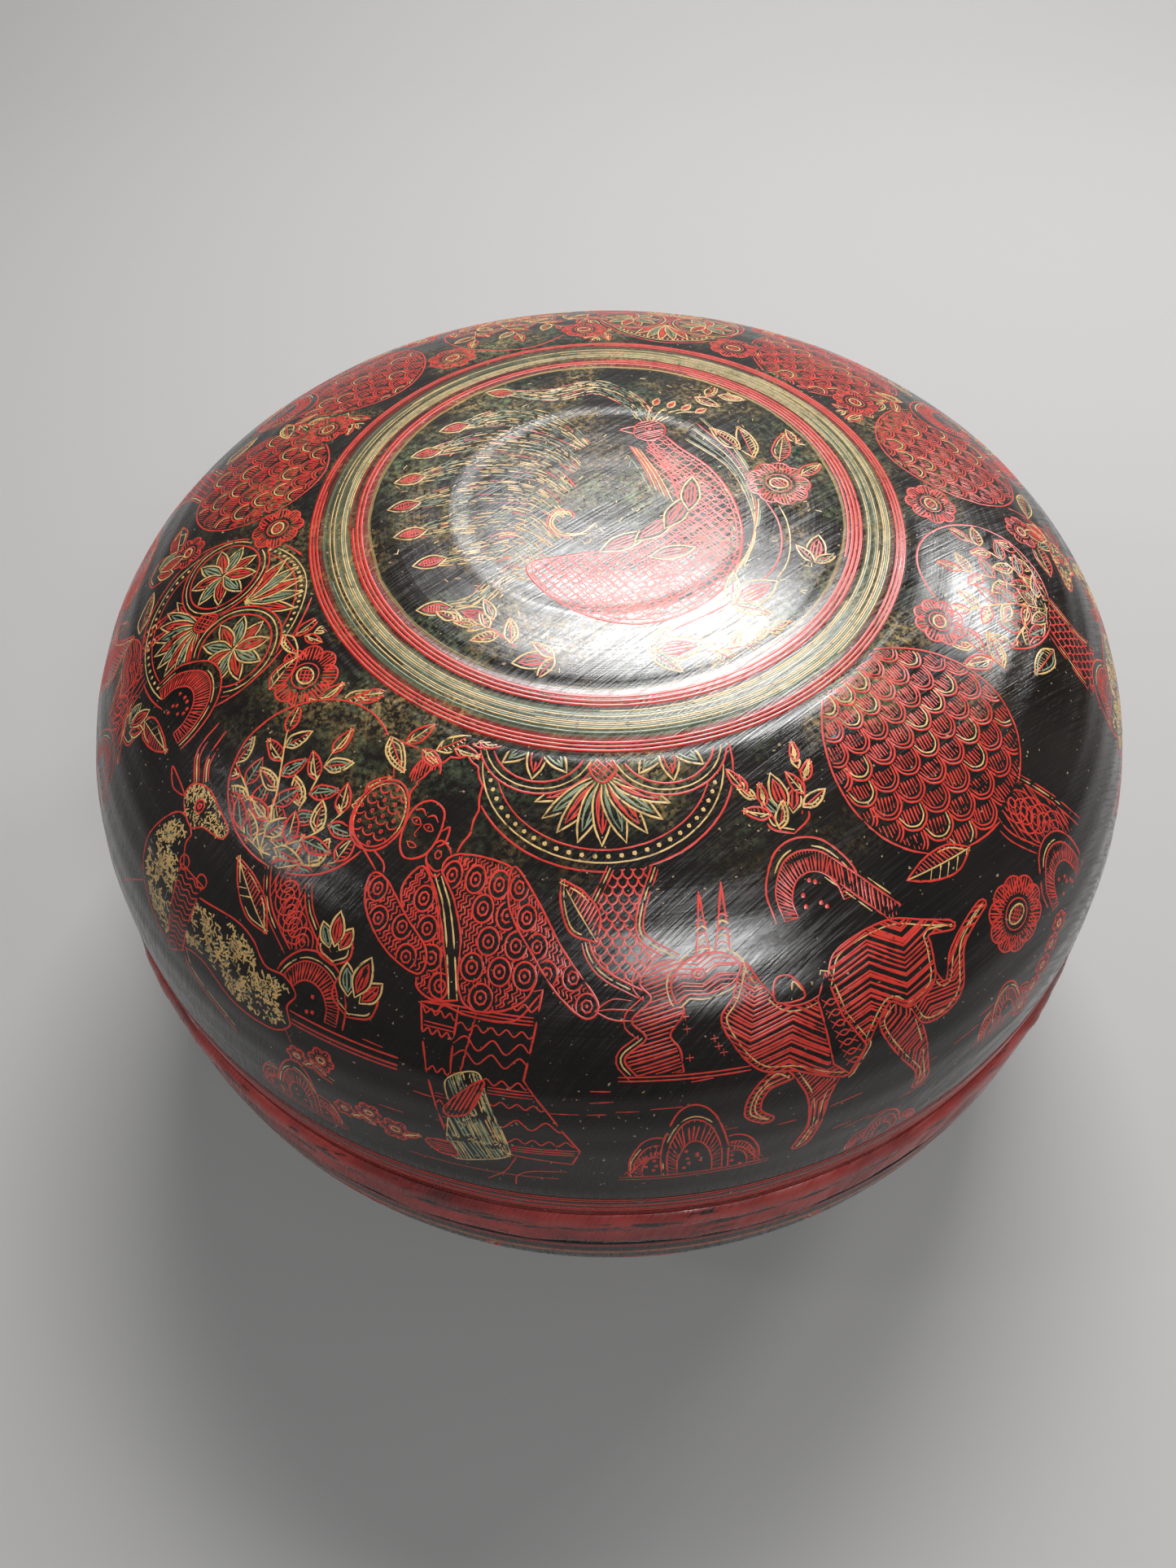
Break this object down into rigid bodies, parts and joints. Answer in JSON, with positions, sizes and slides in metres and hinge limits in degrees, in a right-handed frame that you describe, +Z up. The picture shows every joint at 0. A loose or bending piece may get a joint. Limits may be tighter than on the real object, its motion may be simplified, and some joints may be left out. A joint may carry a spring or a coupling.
{
  "type": "lacquered lidded bowl",
  "caption": "Round flattened bowl with a domed lift-off lid, coiled bamboo under black lacquer with incised red and gold folk scenes.",
  "frame": {"origin": "centre of the foot ring's flat underside, where the bowl stands", "axes": "+Z up through the middle of the lid; -Y is the side that faces the viewer"},
  "size_m": [0.2829, 0.283, 0.178],
  "materials": {
    "black_lacquer": "polished tree lacquer, black, incised with red, gold and green",
    "red_lacquer": "worn cinnabar red lacquer on the lips",
    "lining_lacquer": "satin red-brown lacquer inside",
    "bamboo": "split bamboo strip, bare, under the lacquer",
    "collar_lacquer": "worn black lacquer over a bamboo hoop"
  },
  "bodies": {
    "bowl": {"bowl_base_disc": "bamboo", "bowl_shoulder_coil": "bamboo", "bowl_wall_coil": "bamboo", "bowl_rim_hoop": "bamboo", "bowl_lip_band": "red_lacquer", "bowl_lacquer": "black_lacquer", "bowl_lining": "lining_lacquer", "underside_lacquer": "black_lacquer", "seat_collar": "collar_lacquer", "foot_ring": "black_lacquer"},
    "lid": {"lid_top_disc": "bamboo", "lid_shoulder_coil": "bamboo", "lid_wall_coil": "bamboo", "lid_rim_hoop": "bamboo", "lid_lip_band": "red_lacquer", "lid_lacquer": "black_lacquer", "lid_lining": "lining_lacquer"}
  },
  "joints": [
    {"name": "lid_lift", "type": "slide", "parent": "bowl", "child": "lid", "axis": [0, 0, 1], "range_m": [0, 0.15]}
  ]
}
